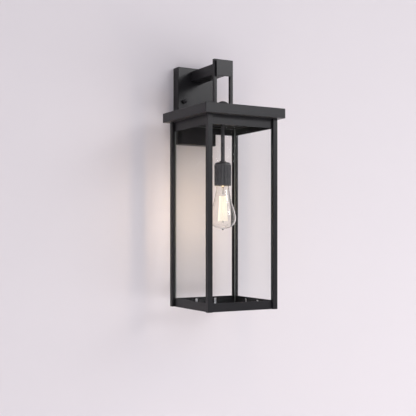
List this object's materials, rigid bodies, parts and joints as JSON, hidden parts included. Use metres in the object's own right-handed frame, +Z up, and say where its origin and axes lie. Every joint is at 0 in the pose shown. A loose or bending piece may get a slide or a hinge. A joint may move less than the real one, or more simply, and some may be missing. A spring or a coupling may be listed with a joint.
{
  "type": "outdoor wall lantern",
  "caption": "Square glazed lantern cage open at the bottom, with a clear pear-shaped bulb, hung by a square-bar yoke from a box arm on a rectangular wall pan.",
  "frame": {"origin": "centre of the wall pan's open back, on the wall surface", "axes": "+X to the right for a person facing the wall, +Y into the wall, +Z up"},
  "size_m": [0.2178, 0.2634, 0.6031],
  "materials": {
    "black_powder_coat": "satin black powder coat with a fine orange-peel texture",
    "clear_pane_glass": "clear flat glass",
    "bulb_envelope": "clear blown glass",
    "bulb_stem_glass": "clear pressed glass",
    "filament_wire": "thin wire, glowing warm white when lit",
    "nickel_plate": "rolled nickel-plated sheet",
    "black_base_glass": "opaque black glass",
    "solder_tip": "soft solder, dull",
    "glazed_porcelain": "off-white glazed porcelain",
    "socket_brass": "pressed brass, unlacquered",
    "cast_block": "die-cast, unpainted",
    "zinc_plate": "zinc-plated steel",
    "spring_steel": "bright spring steel",
    "green_ground_screw": "green dyed zinc plate",
    "bare_copper": "bare copper wire",
    "black_insulation": "smooth heat-resistant insulation",
    "white_insulation": "smooth heat-resistant insulation"
  },
  "bodies": {
    "lantern": {"arm_anchor_block": "cast_block", "arm_end_cap": "black_powder_coat", "arm_screw_left": "zinc_plate", "arm_screw_right": "zinc_plate", "arm_tube": "black_powder_coat", "backplate": "black_powder_coat", "ceiling_nut_lower": "zinc_plate", "ceiling_nut_upper": "zinc_plate", "ceiling_plate": "black_powder_coat", "glass_clip_front_a": "spring_steel", "glass_clip_front_b": "spring_steel", "glass_clip_left_a": "spring_steel", "glass_clip_left_b": "spring_steel", "glass_clip_rear_a": "spring_steel", "glass_clip_rear_b": "spring_steel", "glass_clip_right_a": "spring_steel", "glass_clip_right_b": "spring_steel", "glass_pane_front": "clear_pane_glass", "glass_pane_left": "clear_pane_glass", "glass_pane_rear": "clear_pane_glass", "glass_pane_right": "clear_pane_glass", "ground_lead": "bare_copper", "ground_screw": "green_ground_screw", "lead_black": "black_insulation", "lead_white": "white_insulation", "lower_rail_front": "black_powder_coat", "lower_rail_left": "black_powder_coat", "lower_rail_rear": "black_powder_coat", "lower_rail_right": "black_powder_coat", "mounting_plate": "zinc_plate", "mounting_stud_left": "zinc_plate", "mounting_stud_right": "zinc_plate", "post_front_left": "black_powder_coat", "post_front_right": "black_powder_coat", "post_rear_left": "black_powder_coat", "post_rear_right": "black_powder_coat", "roof_cover": "black_powder_coat", "roof_finial": "black_powder_coat", "socket_contact": "socket_brass", "socket_core": "glazed_porcelain", "socket_cup": "black_powder_coat", "socket_screw_shell": "socket_brass", "stem_tube": "black_powder_coat", "strap_nut": "zinc_plate", "upper_rail_front": "black_powder_coat", "upper_rail_left": "black_powder_coat", "upper_rail_rear": "black_powder_coat", "upper_rail_right": "black_powder_coat", "yoke": "black_powder_coat", "yoke_strap": "zinc_plate"},
    "bulb": {"bulb_base": "nickel_plate", "bulb_contact": "solder_tip", "bulb_filament": "filament_wire", "bulb_glass": "bulb_envelope", "bulb_insulator": "black_base_glass", "bulb_lead_wire_a": "nickel_plate", "bulb_lead_wire_b": "nickel_plate", "bulb_mount": "bulb_stem_glass"},
    "cap_nut_left": {"cap_nut_left": "black_powder_coat"},
    "cap_nut_right": {"cap_nut_right": "black_powder_coat"}
  },
  "joints": [
    {"name": "bulb_turn", "type": "hinge", "parent": "lantern", "child": "bulb", "pos_m": [0, -0.1545, -0.2], "axis": [0, 0, 1], "range_deg": [-900, 0]},
    {"name": "cap_nut_left_turn", "type": "hinge", "parent": "lantern", "child": "cap_nut_left", "pos_m": [-0.038, -0.03, 0.0113], "axis": [0, 1, 0], "range_deg": [-2700, 0]},
    {"name": "cap_nut_right_turn", "type": "hinge", "parent": "lantern", "child": "cap_nut_right", "pos_m": [0.038, -0.03, 0.0113], "axis": [0, 1, 0], "range_deg": [-2700, 0]}
  ]
}
